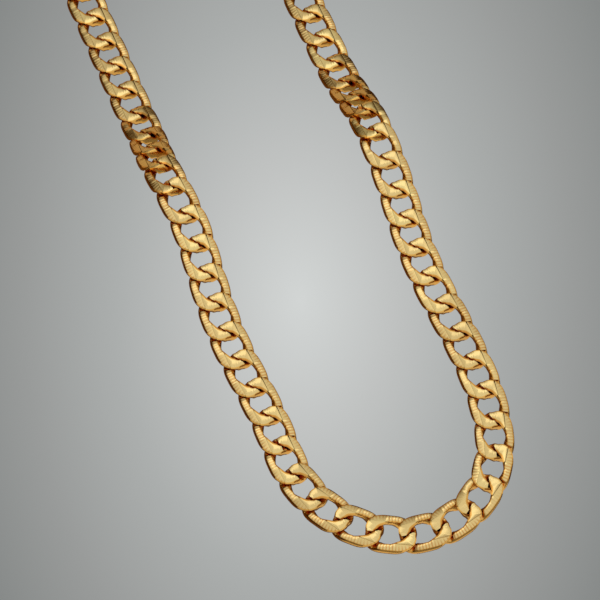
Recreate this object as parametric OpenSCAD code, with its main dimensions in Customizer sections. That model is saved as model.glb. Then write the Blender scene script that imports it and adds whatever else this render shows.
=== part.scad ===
// Necklace of flattened curb links, hanging in a long loop from the middle of its back.
// X runs across the loop, the front faces -Y and +Z is up. Lengths are millimetres, angles degrees.

/* [Link] */
// distance from the middle of one link to the middle of the next
link_pitch = 8.3; // [7.6:0.05:9.0]
// outer width of a link across the chain
link_width = 9.6; // [9.0:0.1:10.2]
// wire width along a link's two sides
wire_side = 2.2; // [1.9:0.05:2.4]
// wire height along a link's two sides
wire_side_tall = 2.4; // [2.0:0.05:2.6]
// wire width at a link's two ends
wire_end = 1.85; // [1.6:0.05:1.95]
// wire height at a link's two ends
wire_end_tall = 1.85; // [1.7:0.05:2.2]
// share of the wire's width that is flat in front and behind
wire_flat = 0.6; // [0.5:0.05:0.7]
// free play between two links along a straight run
link_play = 0.45; // [0.35:0.05:0.7]
// squareness of a link's outline, 2 is an ellipse
link_square = 2.7; // [2.2:0.1:3.0]
// height that the wire gains where it crosses the next link
cross_rise = 1.5; // [1.35:0.05:1.6]
// how sharply the wire turns from the front to the back at a link's end
cross_turn = 3; // [1.5:0.5:4]
// how sharply it turns from the back to the front along a link's sides
side_turn = 1.2; // [0.5:0.1:2]
// thickness of the chain between its two filed faces
filed_thick = 2.8; // [2.6:0.1:3.2]
// half width of the level filed face, before its sloping edge starts
level_half = 2.5; // [1.8:0.1:2.9]
// slope of the filed edge away from the level face
edge_slope = 17; // [8:1:30]

/* [Loop] */
// number of links in the front run
front_count = 45; // [41:1:49]
// number of links from the clasp to the front run, left side
left_count = 11; // [8:1:14]
// number of links from the front run to the clasp, right side
right_count = 13; // [10:1:16]
// distance between the middles of the two strands
strand_gap = 51.9; // [46:0.1:60]
// distance between the middles of the two links that hold the clasp
clasp_span = 28; // [25:0.5:31]
// how far the clasp sits along the loop from the middle of the back
clasp_shift = -1.6; // [-3:0.1:3]
// turns of the bottom of the loop, left to right, and how wide each is against the others
bottom_turns = [
    // angle, relative radius
    [30, 32],
    [35, 30],
    [80, 22.3],
    [20, 27],
    [15, 60],
];
// sideways swings of the strands, heights counted along them from the loop's bottom
swings = [
    // height of the middle, length, left strand's shift, right strand's shift
    [68, 64, -1.9, -1.9],
    [116, 44, -1.1, 0.2],
];

/* [Drape] */
// lean of the lower run back from upright
lean_low = 22; // [10:1:35]
// lean in the steep fold, where the chain comes over an edge
lean_fold = 58; // [40:1:65]
// lean of the upper run
lean_high = 32; // [20:1:45]
// height along the strands of the start of the fold, from the loop's bottom
fold_start = 102; // [95:0.5:112]
// length of the first bend of the fold, where the lean grows
fold_in = 16; // [14:0.5:20]
// length of the fold's even part
fold_flat = 9; // [6:0.5:14]
// length of the second bend of the fold, where the lean falls again
fold_out = 15.5; // [14:0.5:20]
// how much lower the fold lies on the right strand than on the left one
fold_skew = 4.7; // [0:0.1:7]
// height along the strands of the bend towards the level back
back_start = 184; // [175:1:195]
// length of that bend
back_bend = 40; // [30:1:50]

/* [Clasp] */
// radius of the clasp's barrel
barrel_radius = 3.2; // [2.5:0.1:4]
// length of the barrel's tapered shoulders
shoulder = 1.8; // [1:0.1:2.5]
// middle radius of the clasp's two rings
ring_radius = 2.3; // [2.1:0.05:2.6]
// radius of the rings' wire
ring_wire = 0.7; // [0.6:0.05:0.8]
// how far the ring's middle lies beyond the middle of its link
ring_reach = 5.5; // [5.3:0.1:5.7]

/* [Hidden] */
// wire rings round one link, corners of its wire as shares of its width and height,
// and spacing of the points along the route
rings = 16;
section = [[1, 0], [wire_flat, 1], [-wire_flat, 1], [-1, 0], [-wire_flat, -1], [wire_flat, -1]];
sides = len(section);
step = 1;
count = left_count + front_count + right_count;
link_length = link_pitch + 2 * wire_end + link_play;
half_long = (link_length - wire_end) / 2;
half_wide = (link_width - wire_side) / 2;
half_gap = strand_gap / 2;

function total(list, n) = n < 1 ? 0 : list[n - 1] + total(list, n - 1);
function unit(v) = v / norm(v);

// Bottom of the loop: arcs between these headings, scaled to span the gap between the strands.
turn_count = len(bottom_turns);
turns = [for (row = bottom_turns) row[0]];
heads = [for (i = [0:turn_count]) total(turns, i) - 90];
widths = [for (row = bottom_turns) row[1]];
spans = [for (i = [0:turn_count - 1]) widths[i] * (sin(heads[i + 1]) - sin(heads[i]))];
climbs = [for (i = [0:turn_count - 1]) widths[i] * (cos(heads[i]) - cos(heads[i + 1]))];
arc_scale = strand_gap / total(spans, turn_count);
radii = arc_scale * widths;
arcs = [for (i = [0:turn_count - 1]) radii[i] * turns[i] * PI / 180];
low = [for (i = [0:turn_count - 1]) if (heads[i] < 0 && heads[i + 1] > 0) i][0];
left_foot = -arc_scale * (total(climbs, low) + widths[low] * (cos(heads[low]) - 1));
foot = [-half_gap, left_foot];
feet = [for (i = [0:turn_count]) foot + arc_scale * [total(spans, i), total(climbs, i)]];
right_foot = feet[turn_count][1];

// Height, measured along the strands, at which they end and the half circle of the back starts.
loop_length = (count - 1) * link_pitch + clasp_span;
top = (loop_length - PI * half_gap - total(arcs, turn_count) + left_foot + right_foot) / 2;

// The loop laid flat, as points [across, up]: back, left strand, bottom, right strand, back.
function even(length) = max(2, ceil(length / step));
function straight(from, to) = let (
    n = even(norm(to - from))
) [for (i = [0:n - 1]) from + (to - from) * i / n];
function bow(centre, radius, a, b) = let (
    n = even(radius * abs(b - a) * PI / 180)
) [for (i = [0:n - 1]) let (u = a + (b - a) * i / n) centre + radius * [cos(u), sin(u)]];
function bottom_bow(i) = let (
    centre = feet[i] - radii[i] * [sin(heads[i]), -cos(heads[i])]
) bow(centre, radii[i], heads[i] - 90, heads[i + 1] - 90);
flat_route = concat(
    bow([0, top], half_gap, 90, 180),
    straight([-half_gap, top], feet[0]),
    [for (i = [0:turn_count - 1]) each bottom_bow(i)],
    straight(feet[turn_count], [half_gap, top]),
    bow([0, top], half_gap, 0, 90),
    [[0, top + half_gap]]
);

// Side view of the drape: the lean at each height along the strands.
fold_a = fold_start + fold_in;
fold_b = fold_a + fold_flat;
fold_c = fold_b + fold_out;
skew_end = (fold_c + back_start) / 2;
lean_rows = [
    // height along the strands, lean
    [fold_start, lean_low],
    [fold_a, lean_fold],
    [fold_b, lean_fold],
    [fold_c, lean_high],
    [back_start, lean_high],
    [back_start + back_bend, 90],
];

// Running sums of that lean, millimetre by millimetre: rows of height, then distance back or up.
base = -8;
rows = ceil(top + half_gap) + 16;
function half_lean(i) = lookup(base + i + 0.5, lean_rows);
sum_back = [for (i = 0, v = 0; i <= rows; v = v + sin(half_lean(i)), i = i + 1) [base + i, v]];
sum_up = [for (i = 0, v = 0; i <= rows; v = v + cos(half_lean(i)), i = i + 1) [base + i, v]];

// The flat loop lifted into the drape, with the fold a little lower on the right strand.
function skew(point) = -fold_skew * point[0] / strand_gap;
function level(point) = point[1] - (point[1] < skew_end ? skew(point) : 0);
function hump(row, q) = let (
    from_middle = (q - row[0]) / row[1]
) abs(from_middle) > 0.5 ? 0 : (1 + cos(360 * from_middle)) / 2;
function swing(point) = let (
    right = max(0, min(1, 0.5 + point[0] / strand_gap)),
    shifts = [for (row = swings) hump(row, point[1]) * (row[2] + (row[3] - row[2]) * right)]
) total(shifts, len(shifts));
function lift(point) = let (
    above = point[1] < skew_end ? 0 : 1
) [
    point[0] + swing(point),
    lookup(level(point), sum_back) + skew(point) * (sin(lean_low) - above * sin(lean_high)),
    lookup(level(point), sum_up) + skew(point) * (cos(lean_low) - above * cos(lean_high))
];
route = [for (point = flat_route) lift(point)];
leans = [for (point = flat_route) lookup(level(point), lean_rows)];
last = len(route) - 1;
function stride(i) = i < last ? norm(route[i + 1] - route[i]) : 0;
marks = [for (i = 0, s = 0; i <= last; s = s + stride(i), i = i + 1) [s, i]];
route_length = marks[last][0];
pitch = (route_length - clasp_span) / (count - 1);

// Place and directions [side, along, out, middle] at a distance along the loop.
function wrap(s) = s - route_length * floor(s / route_length);
function mix(list, f) = let (
    i = min(floor(f), last - 1)
) list[i] + (list[i + 1] - list[i]) * (f - i);
function on_route(s) = mix(route, lookup(wrap(s), marks));
function frame_at(s) = let (
    along = unit(on_route(s + 0.6) - on_route(s - 0.6)),
    lean = mix(leans, lookup(wrap(s), marks)),
    face = [0, -cos(lean), sin(lean)],
    out = unit(face - (face * along) * along)
) [cross(along, out), along, out, on_route(s)];
function link_frame(k) = frame_at(clasp_shift + clasp_span / 2 + k * pitch);

// The clasp's two rings, its middle, and the row's origin on its underside.
first_link = link_frame(0);
last_link = link_frame(count - 1);
ring_a = last_link[3] + ring_reach * last_link[1];
ring_b = first_link[3] - ring_reach * first_link[1];
clasp_middle = (ring_a + ring_b) / 2;
clasp_along = unit(ring_b - ring_a);
clasp_out = unit([0, 0, 1] - clasp_along[2] * clasp_along);
origin = clasp_middle - barrel_radius * clasp_out;

// One link: an outline that rises where side and along have the same sign and falls where they differ,
// so that opposite corners pass over the neighbours. It is wrapped in wire with flattened faces, and
// filed level in the middle and sloping at the sides.
function turned(x, g) = x * sqrt((1 + g * g) / (1 + g * g * x * x));
function rise(side, along) = let (
    across = turned(1.5 * side / half_wide, cross_turn),
    lengthwise = turned(2 * along / link_pitch, side_turn)
) cross_rise * across * lengthwise;
function bulge(c) = sign(c) * pow(abs(c), 2 / link_square);
function outline(i) = let (
    u = 360 * i / rings,
    side = half_wide * bulge(sin(u)),
    along = half_long * bulge(cos(u))
) [side, along, rise(side, along)];
function filed(point) = let (
    limit = filed_thick / 2 - max(0, abs(point[0]) - level_half) * tan(edge_slope)
) [point[0], point[1], max(-limit, min(limit, point[2]))];
function wire_ring(i) = let (
    middle = outline(i),
    along = unit(outline(i + 1) - outline(i - 1)),
    away = unit([-along[1], along[0], 0]),
    up = cross(along, away),
    sideness = pow(middle[0] / half_wide, 2),
    wide = (wire_end + (wire_side - wire_end) * sideness) / 2,
    tall = (wire_end_tall + (wire_side_tall - wire_end_tall) * sideness) / 2
) [for (share = section) filed(middle + wide * share[0] * away + tall * share[1] * up)];
link_points = [for (i = [0:rings - 1]) each wire_ring(i)];
function corner(i, j) = (i % rings) * sides + j % sides;
link_faces = [
    for (i = [0:rings - 1], j = [0:sides - 1]) each [
        [corner(i, j), corner(i + 1, j), corner(i + 1, j + 1)],
        [corner(i, j), corner(i + 1, j + 1), corner(i, j + 1)]
    ]
];
function placed(point, f) = point[0] * f[0] + point[1] * f[1] + point[2] * f[2] + f[3] - origin;

module gold() color([0.87, 0.67, 0.33]) children();

// A list of links by number, as one run of separate closed links.
module links(numbers) {
    per_link = rings * sides;
    points = [for (k = numbers) let (f = link_frame(k)) for (point = link_points) placed(point, f)];
    faces = [for (m = [0:len(numbers) - 1], face = link_faces) face + m * per_link * [1, 1, 1]];
    gold() polyhedron(points = points, faces = faces, convexity = 8);
}

module front_links() links([each [left_count:left_count + front_count - 1]]);

module back_links() links([each [0:left_count - 1], each [left_count + front_count:count - 1]]);

module stand(f, place) {
    d = place - origin;
    multmatrix([
        [f[0][0], f[1][0], f[2][0], d[0]],
        [f[0][1], f[1][1], f[2][1], d[1]],
        [f[0][2], f[1][2], f[2][2], d[2]],
        [0, 0, 0, 1]
    ]) children();
}

// A ring stands edge-on to the chain, so that it passes through the end link.
module ring() {
    rotate([0, 90, 0]) rotate_extrude($fn = 32) translate([ring_radius, 0])
        circle(r = ring_wire, $fn = 24);
}

// The barrel reaches the middle of each ring's near wire, and its ends cover that wire.
module barrel() {
    half = norm(ring_b - ring_a) / 2 - ring_radius;
    end_radius = ring_wire + 0.6;
    rotate([-90, 0, 0]) rotate_extrude($fn = 48) polygon([
        [0, -half],
        [end_radius, -half],
        [barrel_radius, -half + shoulder],
        [barrel_radius, half - shoulder],
        [end_radius, half],
        [0, half]
    ]);
}

module clasp() gold() union() {
    stand([cross(clasp_along, clasp_out), clasp_along, clasp_out], clasp_middle) barrel();
    stand(last_link, ring_a) ring();
    stand(first_link, ring_b) ring();
}

front_links();
back_links();
clasp();
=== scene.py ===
# %% [markdown]
# # A flattened curb chain in gold plate
#
# The necklace is a closed loop of 69 brass links and a plain clasp. It hangs from the back of the
# neck, folds over the collar bones and ends in a long round drop. This lesson dresses that loop.
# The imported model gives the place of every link. Blender gives each link its filed faces, its
# milled grooves and its plating, and then lights it like a picture for a shop.
#
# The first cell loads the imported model. Nothing here moves or resizes it.

# %% Load the frame
import math
import random

import bmesh
import bpy
import numpy as np
from mathutils import Matrix, Vector


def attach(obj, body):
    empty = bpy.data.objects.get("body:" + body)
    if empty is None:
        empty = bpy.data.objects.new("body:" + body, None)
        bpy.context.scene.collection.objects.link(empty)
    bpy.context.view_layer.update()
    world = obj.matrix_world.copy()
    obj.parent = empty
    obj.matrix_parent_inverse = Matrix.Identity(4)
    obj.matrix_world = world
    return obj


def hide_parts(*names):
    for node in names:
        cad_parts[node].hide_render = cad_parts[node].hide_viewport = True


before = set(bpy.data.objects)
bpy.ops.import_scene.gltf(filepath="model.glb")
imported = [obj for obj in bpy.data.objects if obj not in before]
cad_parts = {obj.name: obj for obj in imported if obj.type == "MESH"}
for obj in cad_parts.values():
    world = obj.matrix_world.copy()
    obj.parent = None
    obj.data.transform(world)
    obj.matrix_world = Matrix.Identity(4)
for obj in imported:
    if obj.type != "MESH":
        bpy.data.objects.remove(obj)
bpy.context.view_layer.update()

# %% [markdown]
# ## Units
#
# Blender counts in metres and a jeweller in millimetres, so the sizes below are millimetres and
# one factor turns them into metres. A link is shaped in millimetres near the origin and scaled
# once, because bmesh tools merge and cut more cleanly at that size than at thousandths of a metre.

# %% Units
MM = 0.001

# %% [markdown]
# ## The shape of one link
#
# A curb link starts as a ring of wire, longer than it is wide and a little squarer than an
# ellipse. It is twisted, so that two opposite corners come forward and the other two go back, and
# each forward corner lies on top of the next link. Then the chain is pressed and filed flat.
# Pressing spreads the forward corners inwards in front and the backward ones at the back. So the
# hole isn't a plain oval: in front it is an oval with two opposite corners cut off along a slant,
# at the back the other two are, and the hole twists from one to the other.
#
# So a link is described by four curves seen from the front: the middle line of its wire, its
# outline, its open hole and its hole with slanted corners. Each curve is a short formula, and a
# formula is easier to match to a picture than a list of points. At the ends the pressed metal
# also swells outwards a little, most at the forward corners.

# %% The link seen from the front
LINK_PITCH = 8.3
# half sizes across and along the link; a squareness of 2 is an ellipse and more is squarer
MIDDLE_HALF = (3.8, 5.25)
MIDDLE_SQUARENESS = 2.7
OUTLINE_HALF = (4.8, 6.2)
OUTLINE_SQUARENESS = 2.6
# the hole: half width, half length, slant of its cut corners and how crisp they are
HOLE_HALF_WIDE = 2.82
HOLE_TIP = 4.15
HOLE_SLANT = 1.35
HOLE_ROUNDNESS = 6
# side times along at which a corner's twist is complete, in square millimetres
TWIST_REACH = 5
# swelling of the ends at forward and backward corners, and the slit between two links
END_FORWARD = 0.4
END_BACK = 0.1
SLIT = 0.14


def bulge(x, squareness):
    """A sine or cosine made squarer, for an outline between an ellipse and a rectangle."""
    return math.copysign(abs(x) ** (2 / squareness), x)


def middle_line(angle):
    """Middle of the wire at an angle round the link, as side and along."""
    side = MIDDLE_HALF[0] * bulge(math.sin(angle), MIDDLE_SQUARENESS)
    along = MIDDLE_HALF[1] * bulge(math.cos(angle), MIDDLE_SQUARENESS)
    return Vector((side, along, 0))


def outline(point):
    """Below one inside the link's outline and above one outside it."""
    share = (abs(point.x) / OUTLINE_HALF[0]) ** OUTLINE_SQUARENESS
    return share + (abs(point.y) / OUTLINE_HALF[1]) ** OUTLINE_SQUARENESS


def open_hole(point):
    """Below one inside the oval hole and above one outside it."""
    share = (abs(point.y) / HOLE_TIP) ** HOLE_ROUNDNESS
    return share + (abs(point.x) / HOLE_HALF_WIDE) ** HOLE_ROUNDNESS


def slanted_hole(point):
    """The same for the hole whose corners are cut off along a slant."""
    share = ((abs(point.y) + HOLE_SLANT * abs(point.x)) / HOLE_TIP) ** HOLE_ROUNDNESS
    return share + (abs(point.x) / HOLE_HALF_WIDE) ** HOLE_ROUNDNESS


def cornering(point):
    """One in the forward corners, minus one in the backward ones and nought between them."""
    return max(-1.0, min(1.0, point.x * point.y / TWIST_REACH))


# no curve is further than this from the wire's middle, and so many halvings find it exactly
REACH_LIMIT = 6.0
HALVINGS = 40


def reach(start, direction, curve):
    """Distance from a point in a direction to where a curve passes one."""
    near, far = 0.0, REACH_LIMIT
    inside = curve(start) < 1
    for _ in range(HALVINGS):
        half = (near + far) / 2
        if (curve(start + half * direction) < 1) == inside:
            near = half
        else:
            far = half
    return near


print("wire at an end, mm:", round(OUTLINE_HALF[1] - HOLE_TIP, 2))
print("wire at a side, mm:", round(OUTLINE_HALF[0] - HOLE_HALF_WIDE, 2))

# %% [markdown]
# ## The link seen from the side
#
# The wire rises towards a forward corner and sinks towards a backward one, so its height goes
# with side times length. `turned` makes that quick across the ends. Along the sides the front
# rises early and dives late, because the press has squeezed it flat. The wire is thinner at its
# ends than at its sides, but the middle of an end is left tall, so that the file and the press
# both reach it where one link dives under the other.
#
# The file takes off whatever stands too high. It leaves a level face between the two borders and
# a sloping face outside each of them. The level face falls a little towards the ends, so that it
# shades off softly from one link to the next.
#
# The level face is filed a hair deeper than the sloping one beside it, so a low step divides
# them. It shows as a fine dark line beside the right strand of each link and a faint one on the
# left. The back of a link is its front turned half round, so one formula gives both.

# %% The link seen from the side
# height gained at a crossing, how soon and how sharply across an end, and along a side up and down
CROSS_RISE = 1.3
CROSS_SOON = 1.5
CROSS_TURN = 3
RISE_POWER = 1.2
DIVE_POWER = 3
# half height of the wire at an end and at a side, and the extra at the middle of an end
WIRE_HALF_TALL = (1.05, 1.6)
DIVE_EXTRA = 1.5
DIVE_HALF = 2.2
# the filed level face, the step beside it and the sloping edge
FILED_HALF = 1.32
LEVEL_HALF = 2.6
STEP_WIDE = 0.25
STEP_TALL = 0.2
EDGE_SLOPE = math.radians(17)
# the level faces fall a little towards the ends, and are FILED_HALF high this far along
FALL = math.radians(1.5)
FALL_MIDDLE = 3.0


def turned(x, sharpness):
    """x bent so that it passes through nought and one, steeper at nought with more sharpness."""
    return x * math.sqrt((1 + sharpness ** 2) / (1 + (sharpness * x) ** 2))


def smooth(x):
    """A smooth step from nought to one."""
    x = max(0.0, min(1.0, x))
    return x * x * (3 - 2 * x)


def rise(side, along):
    """How much the wire's front gains towards a forward corner and loses towards a backward one."""
    across = turned(CROSS_SOON * side / MIDDLE_HALF[0], CROSS_TURN)
    power = RISE_POWER if side * along > 0 else DIVE_POWER
    lengthwise = min(1.0, abs(2 * along / LINK_PITCH)) ** power
    return CROSS_RISE * across * math.copysign(lengthwise, along)


def half_tall(side):
    """Half the height of the wire, with the extra at the middle of an end."""
    sideness = min(1.0, (side / MIDDLE_HALF[0]) ** 2)
    dive = 1 - smooth(abs(side) / DIVE_HALF)
    thin, thick = WIRE_HALF_TALL
    return thin + (thick - thin) * sideness + DIVE_EXTRA * dive


def filed_height(side, along):
    """Height that the file leaves on the front."""
    level = FILED_HALF + (FALL_MIDDLE - abs(along)) * math.tan(FALL)
    beyond = abs(side) - LEVEL_HALF - STEP_WIDE
    slope = FILED_HALF + STEP_TALL - max(0.0, beyond) * math.tan(EDGE_SLOPE)
    share = max(0.0, min(1.0, (beyond + STEP_WIDE) / STEP_WIDE))
    return level + (slope - level) * share


def front_height(side, along):
    """Height of the link's front."""
    tilt = max(0.0, abs(side) - LEVEL_HALF) * math.tan(EDGE_SLOPE)
    return min(rise(side, along) + half_tall(side) - tilt, filed_height(side, along))


def back_height(side, along):
    """Height of the link's back."""
    return -front_height(-side, along)


for along in (3.0, 0.0, -3.0):
    heights = front_height(MIDDLE_HALF[0], along), back_height(MIDDLE_HALF[0], along)
    print("right strand,", along, "mm along, front and back, mm:", [round(z, 2) for z in heights])

# %% [markdown]
# ## Even steps along the wire
#
# The grooves on the edges are milled at one spacing. Equal angles round a squarish ring give
# unequal steps along it, so the next cell measures the line finely once and picks the angles that
# lie the same distance apart.

# %% Even steps along the wire
RINGS = 120
FINE_STEPS = 2880


def even_angles():
    """Angles round the link at equal distances along its middle line, and that distance."""
    fine = np.linspace(0, math.tau, FINE_STEPS + 1)
    points = np.array([middle_line(a) for a in fine])
    travelled = np.concatenate([[0], np.cumsum(np.linalg.norm(np.diff(points, axis=0), axis=1))])
    marks = np.linspace(0, travelled[-1], RINGS, endpoint=False)
    return np.interp(marks, travelled, fine), travelled[-1] / RINGS


angles, ring_step = even_angles()
print("wire length, mm:", round(ring_step * RINGS, 2), "step, mm:", round(ring_step, 3))

# %% [markdown]
# ## A ring of wire
#
# A torus would be the usual start for a link. Here a circle of wire is spun through a full turn
# with its last ring merged into its first, which gives the same closed tube with its rings in
# known places. The circle has three points a quarter, enough for a flat, a bevel and a wall.
#
# The steps up to the finished link are functions, as it is made four times. A trial link goes
# through each of them first and prints what it did.

# %% Spin the tube
TUBE_RADIUS = 10.0
WIRE_RADIUS = 1.0
# a quarter of the wire's section, as shares outwards and upwards: wall, bevel, flat
QUARTER = ((1.0, 0.328), (0.8656, 0.8236), (0.58, 1.0))
SECTION = 4 * len(QUARTER)


def spun_tube():
    """A closed tube of wire round the Z axis."""
    tube = bmesh.new()
    bmesh.ops.create_circle(tube, segments=SECTION, radius=WIRE_RADIUS)
    half_step = Matrix.Rotation(math.pi / SECTION, 3, "Z")
    upright = Matrix.Rotation(math.pi / 2, 3, "X")
    bmesh.ops.rotate(tube, verts=tube.verts, cent=(0, 0, 0), matrix=upright @ half_step)
    bmesh.ops.translate(tube, verts=tube.verts, vec=(TUBE_RADIUS, 0, 0))
    bmesh.ops.spin(
        tube,
        geom=tube.verts[:] + tube.edges[:],
        cent=(0, 0, 0),
        axis=(0, 0, 1),
        angle=math.tau,
        steps=RINGS,
        use_merge=True,
    )
    return tube


trial = spun_tube()
print("trial tube:", len(trial.verts), "points,", len(trial.faces), "faces")

# %% [markdown]
# ## From the tube to the link
#
# Each vertex moves to its place in plan: outwards to the outline or inwards to the hole. Moving
# known points keeps the rings in step with the grooves, which a Boolean of two shapes would not.
# Its height is only a share for now, from minus one at the back to one at the front, and the
# share also says how far the twist has turned there.

# %% Bend the tube into a link
def wire_frame(ring):
    """Middle of the wire at a ring, its direction away from the link's middle, and its reaches."""
    middle = middle_line(angles[ring])
    ahead = middle_line(angles[(ring + 1) % RINGS]) - middle_line(angles[ring - 1])
    away = Vector((-ahead.y, ahead.x, 0)).normalized()
    outer = reach(middle, away, outline)
    inner = reach(middle, -away, open_hole), reach(middle, -away, slanted_hole)
    return middle, away, outer, inner


def section_corner(turn):
    """Corner of the wire's section as shares outwards and upwards, from its angle on the circle."""
    in_quarter = math.atan2(abs(math.sin(turn)), abs(math.cos(turn)))
    out, up = QUARTER[int(in_quarter / (math.tau / SECTION))]
    return math.copysign(out, math.cos(turn)), math.copysign(up, math.sin(turn))


def lay_out(tube):
    """Moves every vertex to its place in plan, with its share of the height as its Z."""
    number = tube.verts.layers.int.new("ring")
    frames = [wire_frame(ring) for ring in range(RINGS)]
    for vert in tube.verts:
        x, y, z = vert.co
        ring = round(math.atan2(y, x) / math.tau * RINGS) % RINGS
        turn = math.atan2(z, math.hypot(x, y) - TUBE_RADIUS)
        middle, away, outer, (plain, slanted) = frames[ring]
        endness = smooth(abs(middle.y) / MIDDLE_HALF[1])
        across, share = section_corner(turn)
        twist = cornering(middle) * share
        inner = plain + (slanted - plain) * (1 + twist) / 2
        outer += (END_FORWARD if twist > 0 else END_BACK) * abs(twist) * endness
        vert.co = middle + across * (outer if across > 0 else inner) * away
        vert.co.z = share
        vert[number] = ring
    bmesh.ops.recalc_face_normals(tube, faces=tube.faces)


lay_out(trial)
reaches = [round(2 * max(vert.co[i] for vert in trial.verts), 2) for i in range(2)]
print("trial link, width and length, mm:", reaches)

# %% [markdown]
# ## Scoring the borders
#
# The file leaves a straight border between level and sloping face. Borders are scored into the
# flat stage with `bisect_plane`, which adds edges and takes nothing away. Each end gets two more
# scored lines, where the next link will start to lie over it. Cutting the finished, bent link would
# leave borders that wander up and down.

# %% Score the borders
# a plane takes a vertex this near for its own, and lines at an end are a bit steeper than the slit
SCORE_REACH = 1e-5
SCORE_SLANT = 1.03 * HOLE_SLANT
# how far past the link's middle line the line on one half of an end reaches
PAST_MIDDLE = 0.5


def score(link, faces, place, normal):
    """Adds an edge where a plane passes through the given faces. The new vertices have no ring."""
    number = link.verts.layers.int["ring"]
    known = set(link.verts)
    edges = list(dict.fromkeys(edge for face in faces for edge in face.edges))
    verts = list(dict.fromkeys(vert for face in faces for vert in face.verts))
    bmesh.ops.bisect_plane(
        link, geom=verts + edges + faces, dist=SCORE_REACH, plane_co=place, plane_no=normal
    )
    for vert in set(link.verts) - known:
        vert[number] = -1


def score_borders(link):
    """Scores the borders between the faces, and where the next link starts to lie over an end."""
    for border in (LEVEL_HALF, LEVEL_HALF + STEP_WIDE, -LEVEL_HALF, -LEVEL_HALF - STEP_WIDE):
        score(link, link.faces[:], (border, 0, 0), (1, 0, 0))
    for side, end in ((1, 1), (1, -1), (-1, 1), (-1, -1)):
        own = [
            face for face in link.faces
            if all(v.co.x * side > -PAST_MIDDLE and v.co.y * end > HOLE_TIP for v in face.verts)
        ]
        score(link, own, (0, end * (HOLE_TIP + SLIT), 0), (side * SCORE_SLANT, -end, 0))


score_borders(trial)
print("trial link after scoring:", len(trial.verts), "points,", len(trial.faces), "faces")

# %% [markdown]
# ## Which face was made how
#
# A curb link shows three finishes: drawn wire, filed level faces and milled sloping edges. The
# file only meets the flats of the wire, which still stand at a share of one in front or at the
# back, so the share tells them from the rest. The distance from the link's middle line then tells
# level from sloping. Picking faces by hand would have to be done again after every change. Wire
# is shaded smooth, and filed faces flat, because a file leaves them so.

# %% Sort the faces
WIRE, LEVEL, EDGE = 0, 1, 2
ON_FACE = 1e-4


def sort_faces(link):
    """Gives each face the number of its finish: tumbled wire, level face or milled edge."""
    border = LEVEL_HALF + STEP_WIDE / 2
    for face in link.faces:
        filed = all(abs(v.co.z) > 1 - ON_FACE for v in face.verts)
        filed_kind = LEVEL if abs(face.calc_center_median().x) < border else EDGE
        face.material_index = filed_kind if filed else WIRE
        face.smooth = not filed


sort_faces(trial)
finishes = [face.material_index for face in trial.faces]
print("faces of wire, level and edge:", [finishes.count(i) for i in (WIRE, LEVEL, EDGE)])

# %% [markdown]
# ## Giving the height
#
# Now each vertex gets the height of the pressed and filed link at its place. It comes this late
# so that the scored edges become crisp ridges and the faces between them stay clean. Sculpting
# the height would never give 69 links the same flat face.

# %% Give the height
def give_height(link):
    """Turns every vertex's share of the height into its height."""
    for vert in link.verts:
        side, along, share = vert.co
        front, back = front_height(side, along), back_height(side, along)
        vert.co.z = (front + back) / 2 + (front - back) / 2 * share
    if link.calc_volume(signed=True) < 0:
        bmesh.ops.reverse_faces(link, faces=link.faces)
    link.normal_update()


give_height(trial)
print("trial link, volume, cubic mm:", round(trial.calc_volume(), 1))

# %% [markdown]
# ## Milling the grooves
#
# The sloping faces carry fine grooves square to the wire, cut one by one with a pointed tool.
# In the picture they are about 0.7 mm apart, three rings of this mesh. Each groove is one ring
# pressed in, so it is a clean V. They are real dents and not bump, because they also show in
# the outline of the chain from the side. A cutter never bites twice alike, so each groove takes
# its own depth from a seeded random number. The corners stay smooth, past the cutter's reach.

# %% Mill the grooves
GROOVE_RINGS = 3
# how much one groove's depth differs from the next, and where the grooves end along the link
GROOVE_SPREAD = 0.4
GROOVE_REACH = 4.6
GROOVE_DEPTHS = (0.05, 0.045, 0.035, 0.015)


def has_groove(vert, number):
    """True for a vertex of a milled edge that lies on a ring with a groove."""
    milled = any(face.material_index == EDGE for face in vert.link_faces)
    return milled and vert[number] >= 0 and vert[number] % GROOVE_RINGS == 0


def mill_grooves(link, depth, seed):
    """Presses every third ring of the sloping faces in by about the given depth."""
    number = link.verts.layers.int["ring"]
    dice = random.Random(seed)
    bite = [depth * (1 + GROOVE_SPREAD * dice.uniform(-1, 1)) for _ in range(RINGS)]
    for vert in link.verts:
        in_reach = abs(vert.co.x) >= LEVEL_HALF + STEP_WIDE and abs(vert.co.y) <= GROOVE_REACH
        if in_reach and has_groove(vert, number):
            edges = [face.normal for face in vert.link_faces if face.material_index == EDGE]
            vert.co -= bite[vert[number]] * sum(edges, Vector()).normalized()


mill_grooves(trial, GROOVE_DEPTHS[0], 0)
print("a groove every", round(GROOVE_RINGS * ring_step, 2), "mm")
print("trial link, volume, cubic mm:", round(trial.calc_volume(), 1))

# %% [markdown]
# ## Painted shade in the crossings
#
# Shade falls where one link lies under the next, and that shade is painted on as a dull brown.
# The link keeps it as a number on each vertex, from nought on the filed faces to one in the
# middle of a crossing, and the material reads it. A painted picture of the shade would need an
# unwrapped link. The bottoms of the milled grooves get some painted shade too. It is left off the
# outer rim, so the rim stays bright.

# %% Mark the painted shade
# distances from the crossing at which the painted shade is full and gone, in millimetres
PAINTED_SHADE_FULL = 1.6
PAINTED_SHADE_NONE = 3.8
# how fast it grows below the filed face, and over what share inwards from the outline
PAINTED_SHADE_DEEPENS = 2.2
PAINTED_SHADE_RIM = 0.5
# painted shade in a groove for each millimetre of its depth
GROOVE_PAINTED_SHADE = 6.0


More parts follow.
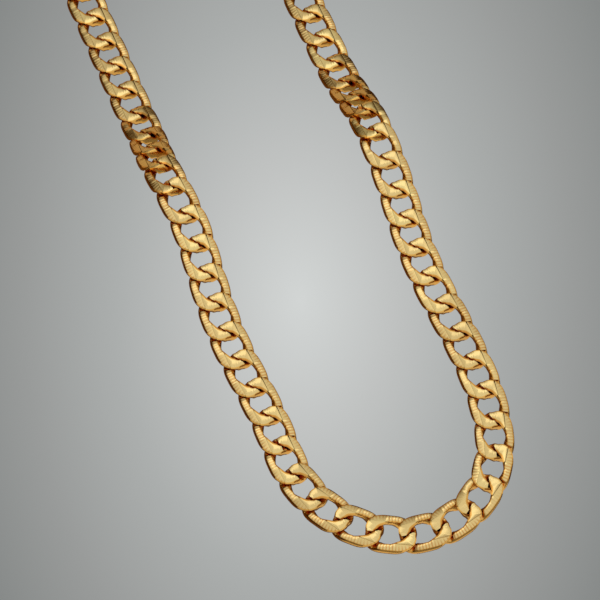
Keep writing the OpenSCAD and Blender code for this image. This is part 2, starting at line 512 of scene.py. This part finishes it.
def mark_cover(link, depth):
    """Stores how much painted shade each vertex takes, under the next link and down in a groove."""
    cover = link.verts.layers.float.new("cover")
    number = link.verts.layers.int["ring"]
    for vert in link.verts:
        behind = max(0.0, 1 - abs(vert.co.z) / filed_height(vert.co.x, vert.co.y))
        far = math.hypot(vert.co.x, abs(vert.co.y) - HOLE_TIP)
        share = (PAINTED_SHADE_NONE - far) / (PAINTED_SHADE_NONE - PAINTED_SHADE_FULL)
        share *= smooth((1 - outline(vert.co)) / PAINTED_SHADE_RIM)
        shade_in_crossing = min(1.0, PAINTED_SHADE_DEEPENS * behind) * smooth(share)
        shade_in_groove = GROOVE_PAINTED_SHADE * depth * has_groove(vert, number)
        vert[cover] = max(shade_in_crossing, shade_in_groove)


mark_cover(trial, GROOVE_DEPTHS[0])
trial_painted_shade = [vert[trial.verts.layers.float["cover"]] for vert in trial.verts]
print("most brown on the trial link:", round(max(trial_painted_shade), 2), "mean:", round(sum(trial_painted_shade) / len(trial_painted_shade), 2))
trial.free()

# %% [markdown]
# ## Four variants of the link
#
# The cutter wears and the chain rubs, so the grooves are deep on some links and almost gone on
# others. Four variants with their own depths and seeds are enough, because the next steps deal
# them out at random. One mesh for each of the 69 links would take the script many times as long.

# %% Make the variants
def as_mesh(name, shape):
    """A mesh made from a bmesh, which isn't needed any more."""
    mesh = bpy.data.meshes.new(name)
    shape.to_mesh(mesh)
    shape.free()
    return mesh


def triangles(mesh):
    """How many triangles a mesh has."""
    mesh.calc_loop_triangles()
    return len(mesh.loop_triangles)


def make_link(name, depth, seed):
    """One finished link in millimetres, lying along Y with its front towards Z."""
    link = spun_tube()
    lay_out(link)
    score_borders(link)
    sort_faces(link)
    give_height(link)
    mill_grooves(link, depth, seed)
    mark_cover(link, depth)
    link.verts.layers.float.new("link_tone")
    mesh = as_mesh(name, link)
    size = [2 * max(v.co[i] for v in mesh.vertices) for i in range(3)]
    print(name, "triangles:", triangles(mesh), "size, mm:", [round(x, 2) for x in size])
    return mesh


links = [make_link(f"link_{i}", depth, i) for i, depth in enumerate(GROOVE_DEPTHS)]

# %% [markdown]
# ## Where the links lie
#
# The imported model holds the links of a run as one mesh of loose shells. A merged copy of it falls
# apart into islands, one a link. A link is longest along the chain, narrower across it and
# thinnest from front to back, so the three main axes of an island's vertices are the link's own
# directions. The link looks the same after half a turn about any of the three, so only the
# handedness of the axes has to be right.

# %% Find the links of a run
MERGE_WITHIN = 0.001 * MM


def islands(node):
    """The loose shells of a CAD node, each as an array of points in millimetres."""
    shell = bmesh.new()
    shell.from_mesh(node.data)
    bmesh.ops.remove_doubles(shell, verts=shell.verts, dist=MERGE_WITHIN)
    seen = set()
    found = []
    for start in shell.verts:
        if start in seen:
            continue
        seen.add(start)
        group = [start]
        # the group grows while the loop walks along it
        for vert in group:
            for other in (edge.other_vert(vert) for edge in vert.link_edges):
                if other not in seen:
                    seen.add(other)
                    group.append(other)
        found.append(np.array([vert.co for vert in group]) / MM)
    shell.free()
    return found


def link_place(points):
    """A link's directions side, along and out as rows, and its middle, from its points."""
    middle = points.mean(axis=0)
    _, axes = np.linalg.eigh(np.cov((points - middle).T))
    out, along = axes[:, 0], axes[:, 2]
    return {"axes": np.array([np.cross(along, out), along, out]), "middle": middle}


# %% Read both runs
places = []
for run in ("front_links", "back_links"):
    found = [{**link_place(points), "run": run} for points in islands(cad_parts[run])]
    print(run, len(found), "links")
    places += found

# %% [markdown]
# ## The order of the links
#
# Each link has to know its neighbours, because they are pressed against each other. The first
# link has only one neighbour within a pitch and a half. From there, the nearest link that is left
# is always the next. Each link is then turned half round, if need be, so that its length points
# back to the link before and its front keeps to the same side of the chain.

# %% Put the links in order
NEXT_WITHIN = 1.5 * LINK_PITCH


def distance(a, b):
    """Distance between two links' middles."""
    return float(np.linalg.norm(a["middle"] - b["middle"]))


def in_order(places):
    """The links from one end of the clasp to the other."""
    near = [sum(0 < distance(a, b) < NEXT_WITHIN for b in places) for a in places]
    ends = [a for a, count in zip(places, near) if count == 1]
    chain = [min(ends, key=lambda a: a["middle"][0])]
    left = [a for a in places if a is not chain[0]]
    while left:
        chain.append(min(left, key=lambda a: distance(a, chain[-1])))
        left = [a for a in left if a is not chain[-1]]
    return chain


def turn_alike(chain):
    """Turns each link so that it points back along the chain, with its front kept in front."""
    for i, link in enumerate(chain):
        back = chain[max(i - 1, 0)]["middle"] - chain[min(i + 1, len(chain) - 1)]["middle"]
        _, along, out = link["axes"]
        along = along * math.copysign(1, along @ back)
        before = chain[i - 1]["axes"][2] if i else np.array([0, 0, 1.0])
        out = out * math.copysign(1, out @ before)
        link["axes"] = np.array([np.cross(along, out), along, out])


chain = in_order(places)
turn_alike(chain)
steps = [distance(a, b) for a, b in zip(chain, chain[1:])]
print(len(chain), "links, pitch, mm:", round(min(steps), 2), "to", round(max(steps), 2))

# %% [markdown]
# ## Pressing the links together
#
# Under the press two neighbours take each other's shape where they cross. Seen from the front
# an X divides the crossing. The wedge towards a link's own end is all its own. In the wedge on
# one side it lies in front of its neighbour, and in the other it lies behind. So one twisted
# surface divides the two: it is level where one lies on the other, and steep along the slit that
# shows between their level faces.
#
# A Boolean could cut each link with its neighbour, but it would leave torn edges in the 68
# crossings. Pressing every vertex to its own side of the surface keeps the mesh as it is. It is
# done in the frame of each crossing, halfway between its two links, so it also holds in the
# round bottom of the loop and in the fold. Only the part within the neighbour's outline is
# pressed.

# %% Press one side of a crossing
# gap left between two pressed links, and how far the neighbour's outline is stretched
LAYER_GAP = 0.12
PRESS_MARGIN = 1.08
# share of a wedge that is pressed, and how steep the dividing surface is along the slit
SLANT_SHARE = 0.97
SPLIT_TURN = 3.0
# keeps a wedge from having no width on the middle line
THINNEST_WEDGE = 1e-6


def split_height(share):
    """Height of the dividing surface, for a share from minus one to one across a wedge."""
    share = np.clip(share, -SLANT_SHARE, SLANT_SHARE)
    return FILED_HALF * share / np.sqrt(1 + SPLIT_TURN ** 2 * (1 - share ** 2))


def press(points):
    """Presses one link's points, in a crossing's frame with its own middle towards +Y.

    On the left the link lies in front of its neighbour and on the right behind it.
    """
    side, along, out = points.T
    beside = (np.abs(side) / OUTLINE_HALF[0]) ** OUTLINE_SQUARENESS
    beyond = (np.abs(along + HOLE_TIP) / OUTLINE_HALF[1]) ** OUTLINE_SQUARENESS
    near = beside + beyond < PRESS_MARGIN
    wedge = np.maximum(HOLE_SLANT * np.abs(side), THINNEST_WEDGE)
    along = np.where(near, np.minimum(along, SLANT_SHARE * wedge - SLIT / 2), along)
    share = (along + SLIT / 2) / wedge
    divide = split_height(share)
    floor = np.where(share > -SLANT_SHARE, divide + LAYER_GAP / 2, -np.inf)
    ceiling = np.where(share > -SLANT_SHARE, -divide - LAYER_GAP / 2, np.inf)
    pressed = np.where(side < 0, np.maximum(out, floor), np.minimum(out, ceiling))
    return np.stack([side, along, np.where(near, pressed, out)], axis=1)


print("dividing surface, mm:", [round(float(split_height(x)), 2) for x in (0, 0.5, 0.9, 1)])


# %% Press a link against both neighbours
def crossing(a, b):
    """Directions as rows and middle of the crossing between a link and the next."""
    ends = a["middle"] - HOLE_TIP * a["axes"][1], b["middle"] + HOLE_TIP * b["axes"][1]
    along = a["middle"] - b["middle"]
    along /= np.linalg.norm(along)
    out = a["axes"][2] + b["axes"][2]
    out -= (out @ along) * along
    out /= np.linalg.norm(out)
    return np.array([np.cross(along, out), along, out]), (ends[0] + ends[1]) / 2


def pressed_link(i, mesh):
    """Points of link i, pressed against both its neighbours, and how far each was pressed."""
    link = chain[i]
    points = np.array([v.co for v in mesh.vertices]) @ link["axes"] + link["middle"]
    before = points
    if i + 1 < len(chain):
        axes, middle = crossing(link, chain[i + 1])
        points = press((points - middle) @ axes.T) @ axes + middle
    if i > 0:
        axes, middle = crossing(chain[i - 1], link)
        turned_round = np.diag([-1, -1, 1]) @ axes
        points = press((points - middle) @ turned_round.T) @ turned_round + middle
    return points, np.linalg.norm(points - before, axis=1)


_, moves = pressed_link(len(chain) // 2, links[0])
print("the middle link is pressed by up to", round(float(moves.max()), 2), "mm")

# %% [markdown]
# ## Joining the links
#
# Sixty-nine objects would be slow to handle and each run moves as one, so the links of a run are
# joined into one mesh. Each link takes one of the four variants and a tone of its own. Where a
# vertex was pressed, it lies against the next link, where shade falls, and gets the same painted
# shade.

# %% Join the links of a run
# millimetres of pressing for full painted shade, and the angle from which an edge is sharp
PRESS_FOR_FULL_SHADE = 0.5
SHARP_FROM = math.radians(50)


def new_object(name, data):
    """An object in the scene with the given mesh, camera or light."""
    thing = bpy.data.objects.new(name, data)
    bpy.context.scene.collection.objects.link(thing)
    return thing


def joined_links(run, seed):
    """A bmesh with all the links of a run, each pressed at its place in the chain."""
    dice = random.Random(seed)
    joined = bmesh.new()
    for i, link in enumerate(chain):
        if link["run"] != run:
            continue
        mesh = dice.choice(links)
        first = len(joined.verts)
        joined.from_mesh(mesh)
        joined.verts.ensure_lookup_table()
        tone = joined.verts.layers.float["link_tone"]
        cover = joined.verts.layers.float["cover"]
        value = dice.random()
        points, moves = pressed_link(i, mesh)
        for vert, point, move in zip(joined.verts[first:], points, moves):
            vert.co = point * MM
            vert[tone] = value
            # a pressed vertex lies against the next link, in shade: painted shade, fuller the
            # further it was pressed
            vert[cover] = max(vert[cover], min(1.0, move / PRESS_FOR_FULL_SHADE))
    return joined


def dress_run(name, run, seed):
    """One object with all the links of a run, in place of its CAD node."""
    mesh = as_mesh(name, joined_links(run, seed))
    mesh.set_sharp_from_angle(angle=SHARP_FROM)
    piece = new_object(name, mesh)
    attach(piece, "root")
    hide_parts(run)
    print(name, "triangles:", triangles(mesh))
    return piece


front_chain = dress_run("front_chain", "front_links", seed=11)
back_chain = dress_run("back_chain", "back_links", seed=12)
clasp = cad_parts["clasp"]

# %% [markdown]
# ## Colours and nodes
#
# Paint charts and pictures give colours as sRGB hex values, and Blender's sockets take linear
# light. One function turns one into the other. A second adds any node with its settings, its
# values and its links, so that a material reads as a short list.

# %% Colour and node helpers
def linear(code):
    """Linear red, green, blue and alpha of an sRGB hex colour, by the standard curve."""
    parts = [int(code[i:i + 2], 16) / 255 for i in (1, 3, 5)]
    return [c / 12.92 if c <= 0.04045 else ((c + 0.055) / 1.055) ** 2.4 for c in parts] + [1]


def add_node(tree, kind, values=None, sources=None, **settings):
    """Adds a node, sets its properties and input values, and links outputs into its inputs."""
    node = tree.nodes.new(kind)
    for name, value in settings.items():
        setattr(node, name, value)
    for name, value in (values or {}).items():
        node.inputs[name].default_value = value
    for name, output in (sources or {}).items():
        tree.links.new(output, node.inputs[name])
    return node


def empty_tree(owner):
    """The node tree of a material or of the world, with nothing in it."""
    owner.use_nodes = True
    owner.node_tree.nodes.clear()
    return owner.node_tree


def ramp_stops(node, stops):
    """Sets a colour ramp's stops from a list of place and hex colour."""
    elements = node.color_ramp.elements
    while len(elements) < len(stops):
        elements.new(1)
    for element, (place, code) in zip(elements, stops):
        element.position = place
        element.color = linear(code)


print("middle grey #808080 is", round(linear("#808080")[0], 3), "in linear light")

# %% [markdown]
# ## Gold plate
#
# The chain is brass with a thin plate of yellow gold, about 18 carat in colour. Plate follows
# the metal under it, so its finish is the finish of the tool: the level faces are burnished and
# carry hair-fine scratches, the milled edges are bright cuts, and the drawn wire between is
# polished in a tumbler and a little softer.
#
# Gold is a metal, so its colour is the colour of its reflection and it has no other. An image of
# a chain would carry the light of its own studio. Noise in real millimetres does the rest here: a
# slow swell that the polisher leaves, and fine marks from wear. Real hair scratches are thinner
# than a dot of this picture, so the marks are drawn coarser, at a third of a millimetre. Besides
# that, a brown painted shade from each vertex darkens the colour in the crossings and grooves, and
# the paler gold of the filed faces against the deeper wire is painted light and shade.

# %% Gold plate
# spacing, fineness and height of the wear marks and of the polisher's swell, in millimetres
MARK_MM, MARK_DETAIL, MARK_TALL = 0.35, 4.0, 0.02
SWELL_MM, SWELL_DETAIL, SWELL_TALL = 2.4, 3.0, 0.1
# the swell's usual values, and the polish there, as shares of the material's roughness
SWELL_RANGE = (0.3, 0.7)
POLISH_RANGE = (0.8, 1.35)
# brightness of the dullest and the brightest link, and the painted shade from light to full
TONE_RANGE = (0.9, 1.06)
PAINTED_SHADE_STOPS = ((0.4, "#D88A38"), (1.0, "#B4571C"))


def gold_plate(name, colour, roughness, marks, swell):
    """Gold plate on brass, browned by painted shade per vertex; the last two are strengths of bump.
    """
    material = bpy.data.materials.new(name)
    tree = empty_tree(material)
    where = add_node(tree, "ShaderNodeTexCoord").outputs["Object"]
    cover = add_node(tree, "ShaderNodeAttribute", attribute_name="cover")
    tone = add_node(tree, "ShaderNodeAttribute", attribute_name="link_tone")
    cloud = add_node(
        tree, "ShaderNodeTexNoise",
        values={"Scale": 1 / (SWELL_MM * MM), "Detail": SWELL_DETAIL},
        sources={"Vector": where},
    )
    hair = add_node(
        tree, "ShaderNodeTexNoise",
        values={"Scale": 1 / (MARK_MM * MM), "Detail": MARK_DETAIL},
        sources={"Vector": where},
    )
    # the colour darkens to brown with the painted shade stored on each vertex
    painted_shade_tint = add_node(tree, "ShaderNodeValToRGB", sources={"Fac": cover.outputs["Fac"]})
    ramp_stops(painted_shade_tint, ((0.0, colour), *PAINTED_SHADE_STOPS))
    vary = add_node(
        tree, "ShaderNodeMapRange",
        values={"To Min": TONE_RANGE[0], "To Max": TONE_RANGE[1]},
        sources={"Value": tone.outputs["Fac"]},
    )
    dull = add_node(
        tree, "ShaderNodeMapRange",
        values={
            "From Min": SWELL_RANGE[0],
            "From Max": SWELL_RANGE[1],
            "To Min": POLISH_RANGE[0] * roughness,
            "To Max": POLISH_RANGE[1] * roughness,
        },
        sources={"Value": cloud.outputs["Fac"]},
    )
    marked = add_node(
        tree, "ShaderNodeBump",
        values={"Strength": marks, "Distance": MARK_TALL * MM},
        sources={"Height": hair.outputs["Fac"]},
    )
    swollen = add_node(
        tree, "ShaderNodeBump",
        values={"Strength": swell, "Distance": SWELL_TALL * MM},
        sources={"Height": cloud.outputs["Fac"], "Normal": marked.outputs["Normal"]},
    )
    toned = add_node(
        tree, "ShaderNodeVectorMath",
        operation="SCALE",
        sources={0: painted_shade_tint.outputs["Color"], "Scale": vary.outputs["Result"]},
    )
    metal = add_node(
        tree, "ShaderNodeBsdfPrincipled",
        values={"Metallic": 1.0},
        sources={
            "Base Color": toned.outputs["Vector"],
            "Roughness": dull.outputs["Result"],
            "Normal": swollen.outputs["Normal"],
        },
    )
    add_node(tree, "ShaderNodeOutputMaterial", sources={"Surface": metal.outputs["BSDF"]})
    return material


# tumbled with small stones: rounded and evenly polished. Its deeper, warmer gold is painted
# shade, for the wire's walls, which lie in shade
drawn_gold = gold_plate("tumbled_gold_plate", "#FBC569", roughness=0.18, marks=0.12, swell=0.15)
# burnished flat with a hard tool: each level face is one sheet that shades off slowly, and its
# paler gold, against the wire's, is painted light
level_gold = gold_plate("burnished_gold_plate", "#FFE29C", roughness=0.2, marks=0.12, swell=0.05)
# cut bright with a pointed mill: pale too, by the same painted light, and every groove is a dark
# line beside a bright one, from its facets and from painted shade
milled_gold = gold_plate("milled_gold_plate", "#FFE29C", roughness=0.18, marks=0.1, swell=0.1)
print("nodes in each gold:", len(drawn_gold.node_tree.nodes))

# %% [markdown]
# ## Which gold goes where
#
# A link is one piece of brass under one plate, and only its faces differ. So each chain takes the
# three golds in the order of the face numbers, wire, level and edge. Three objects for a link
# would open seams between its faces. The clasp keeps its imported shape, since the picture doesn't
# show it. Its rings and its barrel were tumbled like the wire.

# %% Give out the gold
for piece in (front_chain, back_chain):
    for material in (drawn_gold, level_gold, milled_gold):
        piece.data.materials.append(material)
    counts = np.bincount([face.material_index for face in piece.data.polygons])
    print(piece.name, "faces of wire, level and edge:", counts)
clasp.data.materials.clear()
clasp.data.materials.append(drawn_gold)

# %% [markdown]
# ## The camera
#
# The picture looks almost level and from a little to the left, with the camera rolled so that
# the hanging loop leans across the frame. It stands about 1.4 m away: from there both strands
# look the same width. The lens follows from that distance and from the width of the picture at
# the chain. Aiming with a tracking constraint would be quicker, but it leaves the roll open.

# %% Camera
# turned to the right, tipped up a little and rolled
VIEW_TURN = math.radians(8.49)
VIEW_DROP = math.radians(-0.71)
VIEW_ROLL = math.radians(19.04)
VIEW_DISTANCE = 1402 * MM
# width of the picture in dots, size of a dot at the chain, and the place in the picture's middle
PICTURE = 600
PIXEL = 0.2496 * MM
AIM = Vector((-6.18, -120.0, -109.37)) * MM
# the picture is moved by this many dots
NUDGE_RIGHT = 1.0
NUDGE_DOWN = 0.8
SENSOR_MM = 36


def view_axes():
    """Directions forwards, right and up of the rolled camera."""
    forwards = Vector((
        math.sin(VIEW_TURN) * math.cos(VIEW_DROP),
        math.cos(VIEW_TURN) * math.cos(VIEW_DROP),
        -math.sin(VIEW_DROP),
    ))
    level = Vector((math.cos(VIEW_TURN), -math.sin(VIEW_TURN), 0))
    above = level.cross(forwards)
    right = level * math.cos(VIEW_ROLL) - above * math.sin(VIEW_ROLL)
    up = level * math.sin(VIEW_ROLL) + above * math.cos(VIEW_ROLL)
    return forwards, right, up


forwards, right, up = view_axes()
aim = AIM - NUDGE_RIGHT * PIXEL * right + NUDGE_DOWN * PIXEL * up
facing = Matrix((right, up, -forwards)).transposed().to_4x4()
camera_data = bpy.data.cameras.new("picture_camera")
camera_data.sensor_width = SENSOR_MM
camera_data.lens = SENSOR_MM * VIEW_DISTANCE / (PICTURE * PIXEL)
camera = new_object("picture_camera", camera_data)
camera.matrix_world = Matrix.Translation(aim - forwards * VIEW_DISTANCE) @ facing
bpy.context.scene.camera = camera
bpy.context.scene.view_settings.view_transform = "Standard"
print("lens, mm:", round(camera_data.lens, 1))

# %% [markdown]
# ## The studio
#
# A pale floor lies well below the chain and a grey backdrop stands well behind it, so that
# neither holds a shadow. The backdrop is lit from its middle, and the light falls off evenly
# towards its corners, as in the picture. A real lamp on real paper could do that too, but it
# would also light the chain. So the paper gives off its own light here, by its distance from the
# middle.

# %% Floor and backdrop
# in metres: how far the floor is below the chain and the backdrop behind it, and their sizes
FLOOR_DROP = 1.1
FLOOR_SIZE = 3.0
BACKDROP_BEHIND = 3.2
BACKDROP_SIZE = 0.8
# the paper's greys, from the middle of the light to its end
BACKDROP_STOPS = (
    (0.0, "#D2D5D4"),
    (0.25, "#C0C2C1"),
    (0.5, "#ABAEAD"),
    (0.75, "#999B9A"),
    (1.0, "#858887"),
)
# that end in dots of the picture, and in metres out on the backdrop
REACH_IN_DOTS = 430
BACKDROP_REACH = REACH_IN_DOTS * PIXEL * (VIEW_DISTANCE + BACKDROP_BEHIND) / VIEW_DISTANCE
# how much sooner the light ends across the picture, and how much later upwards
BACKDROP_OVAL = (1.17, 0.76)


def flat_sheet(name, size, place, material):
    """A square sheet facing its own Z, at a place."""
    sheet = bmesh.new()
    bmesh.ops.create_grid(sheet, x_segments=1, y_segments=1, size=size / 2)
    thing = new_object(name, as_mesh(name, sheet))
    thing.matrix_world = place
    thing.data.materials.append(material)
    return thing


def floor_paint():
    """Matt paint: it gives the chain's underside a soft pale light and shows no reflection."""
    material = bpy.data.materials.new("pale_floor_paint")
    tree = empty_tree(material)
    paint = add_node(
        tree, "ShaderNodeBsdfPrincipled", values={"Base Color": linear("#C9C9C7"), "Roughness": 0.8}
    )
    add_node(tree, "ShaderNodeOutputMaterial", sources={"Surface": paint.outputs["BSDF"]})
    return material


def backdrop_paper():
    """Studio paper, lit from its middle: it gives the eye a calm grey that darkens outwards."""
    material = bpy.data.materials.new("lit_backdrop_paper")
    tree = empty_tree(material)
    oval = [share / BACKDROP_REACH for share in BACKDROP_OVAL]
    where = add_node(tree, "ShaderNodeTexCoord")
    centred = add_node(
        tree, "ShaderNodeMapping",
        values={"Scale": (*oval, 1)},
        sources={"Vector": where.outputs["Object"]},
    )
    far = add_node(
        tree, "ShaderNodeVectorMath", operation="LENGTH", sources={0: centred.outputs["Vector"]}
    )
    fade = add_node(tree, "ShaderNodeValToRGB", sources={"Fac": far.outputs["Value"]})
    ramp_stops(fade, BACKDROP_STOPS)
    paper = add_node(
        tree, "ShaderNodeEmission",
        values={"Strength": 1.0},
        sources={"Color": fade.outputs["Color"]},
    )
    add_node(tree, "ShaderNodeOutputMaterial", sources={"Surface": paper.outputs["Emission"]})
    return material


below = Matrix.Translation((0, 0, -FLOOR_DROP))
behind = Matrix.Translation(aim + forwards * BACKDROP_BEHIND) @ facing
flat_sheet("floor", FLOOR_SIZE, below, floor_paint())
flat_sheet("backdrop", BACKDROP_SIZE, behind, backdrop_paper())
print("the light on the backdrop ends after, m:", round(BACKDROP_REACH, 2))

# %% [markdown]
# ## The soft boxes
#
# Metal shows its surroundings, so each light is placed where some face of the links looks. The
# links are small and alike, and one box lights the same face on all of them. `high_box` stands
# high in front and lights the level faces near the crossings. `left_box` is weak and fills the
# left side of every link. `edge_box` stands on the right, a little behind, and draws the fine
# bright rim on the right. `top_box` is warm, above and behind, and lights the folds, whose faces
# look up. `low_box` is below and behind, and lights the wall at the top of every hole, which
# looks down.
#
# Small lamps would give glittering points. The boxes are about a metre wide, for calm faces.

# %% Soft boxes
def soft_box(name, place, size, power, colour="#FFFFFF"):
    """A rectangular light, in metres and watts, turned to where the camera aims."""
    data = bpy.data.lights.new(name, "AREA")
    data.shape = "RECTANGLE"
    data.size, data.size_y = size
    data.energy = power
    data.color = linear(colour)[:3]
    light = new_object(name, data)
    light.location = place
    light.rotation_euler = (aim - Vector(place)).to_track_quat("-Z", "Y").to_euler()
    print(name, "distance, m:", round((aim - Vector(place)).length, 2))


soft_box("high_box", place=(0.1, -1.05, 1.15), size=(1.4, 0.7), power=1.35)
soft_box("left_box", place=(-0.72, -0.88, 0.95), size=(0.7, 0.7), power=0.35)
soft_box("edge_box", place=(1.5, 0.35, 0.1), size=(0.8, 1.4), power=1.8)
soft_box("top_box", place=(0.0, 0.6, 1.3), size=(1.6, 0.8), power=1.6, colour="#FFD9A8")
soft_box("low_box", place=(0.0, 0.35, -1.0), size=(1.8, 0.8), power=2.0, colour="#FFEFD0")

# %% [markdown]
# ## The air of the studio
#
# Five boxes leave most directions black, and most of the gold would show that black. So a wide
# soft glow lies in front, a little to the right and above, where the filed faces look. It fades
# to brown at the sides, behind and below, and that draws the dark rim on the left of every link
# and, together with the painted shade, the brown in the recesses. A room with walls would do the
# same with many more objects. The camera sees plain grey air in place of the glow.

# %% Surroundings
GLOW_TOWARDS = Vector((0.27, -0.88, 0.33)).normalized()
# nought looks straight away from the glow, a half looks sideways and one straight into it
GLOW_STOPS = (
    (0.0, "#5E3D17"),
    (0.3, "#472C10"),
    (0.5, "#2A1906"),
    (0.6, "#4E3E26"),
    (0.7, "#B2ACA1"),
    (0.84, "#CFCBC3"),
    (1.0, "#DCD9D3"),
)
AIR = "#A3A5A4"


def studio_air():
    """A world with a soft glow that lights the gold, and plain grey air for the camera."""
    world = bpy.data.worlds.new("studio_air")
    tree = empty_tree(world)
    where = add_node(tree, "ShaderNodeTexCoord")
    towards = add_node(
        tree, "ShaderNodeVectorMath",
        operation="DOT_PRODUCT",
        values={1: GLOW_TOWARDS},
        sources={0: where.outputs["Generated"]},
    )
    share = add_node(
        tree, "ShaderNodeMapRange",
        values={"From Min": -1.0, "From Max": 1.0},
        sources={"Value": towards.outputs["Value"]},
    )
    fade = add_node(tree, "ShaderNodeValToRGB", sources={"Fac": share.outputs["Result"]})
    ramp_stops(fade, GLOW_STOPS)
    felt = add_node(tree, "ShaderNodeBackground", sources={"Color": fade.outputs["Color"]})
    seen = add_node(tree, "ShaderNodeBackground", values={"Color": linear(AIR)})
    path = add_node(tree, "ShaderNodeLightPath")
    air = add_node(
        tree, "ShaderNodeMixShader",
        sources={
            "Fac": path.outputs["Is Camera Ray"],
            1: felt.outputs["Background"],
            2: seen.outputs["Background"],
        },
    )
    add_node(tree, "ShaderNodeOutputWorld", sources={"Surface": air.outputs["Shader"]})
    return world


bpy.context.scene.world = studio_air()
print("the glow's height above level, degrees:", round(math.degrees(math.asin(GLOW_TOWARDS.z)), 1))
